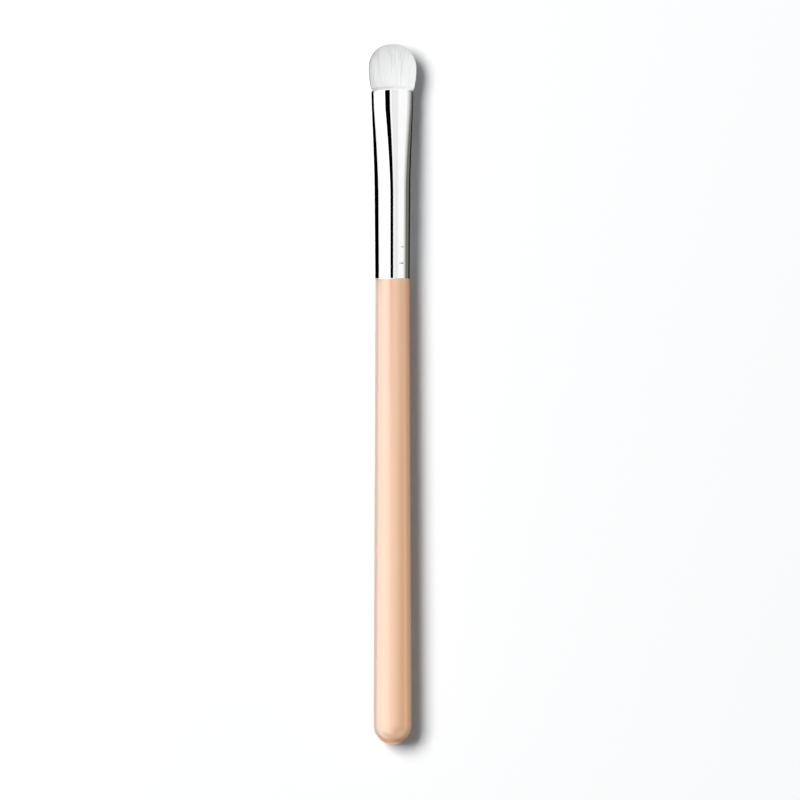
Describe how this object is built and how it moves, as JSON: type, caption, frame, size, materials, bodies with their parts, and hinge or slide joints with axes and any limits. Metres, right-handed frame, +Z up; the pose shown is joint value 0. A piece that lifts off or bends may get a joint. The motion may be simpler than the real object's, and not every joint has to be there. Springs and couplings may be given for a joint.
{
  "type": "eyeshadow brush",
  "caption": "Flat eyeshadow brush: domed white hair tuft in a pressed chrome ferrule on a slim peach-lacquered wooden handle with a rounded butt.",
  "frame": {"origin": "middle of the brush's length and width, on the surface that it lies on", "axes": "+Y along the brush from the butt to the tuft, +X across the flat faces of the mouth, +Z up, square to the flat faces"},
  "size_m": [0.0106, 0.155, 0.0084],
  "materials": {
    "wood": "matte",
    "lacquer": "satin",
    "glue": "satin",
    "ferrule_metal": "polished",
    "resin": "gloss",
    "hair": "matte"
  },
  "bodies": {
    "brush_body": {"handle_core": "wood", "lacquer_coat": "lacquer", "tenon_glue": "glue", "ferrule": "ferrule_metal", "root_glue": "resin"},
    "hair": {"tuft": "hair"}
  },
  "joints": [
    {"name": "tuft_flex", "type": "hinge", "parent": "brush_body", "child": "hair", "pos_m": [0, 0.067, 0.00422], "axis": [1, 0, 0], "range_deg": [-25, 25], "stiffness_Nm_per_rad": 0.005, "deforming": ["tuft"]}
  ]
}
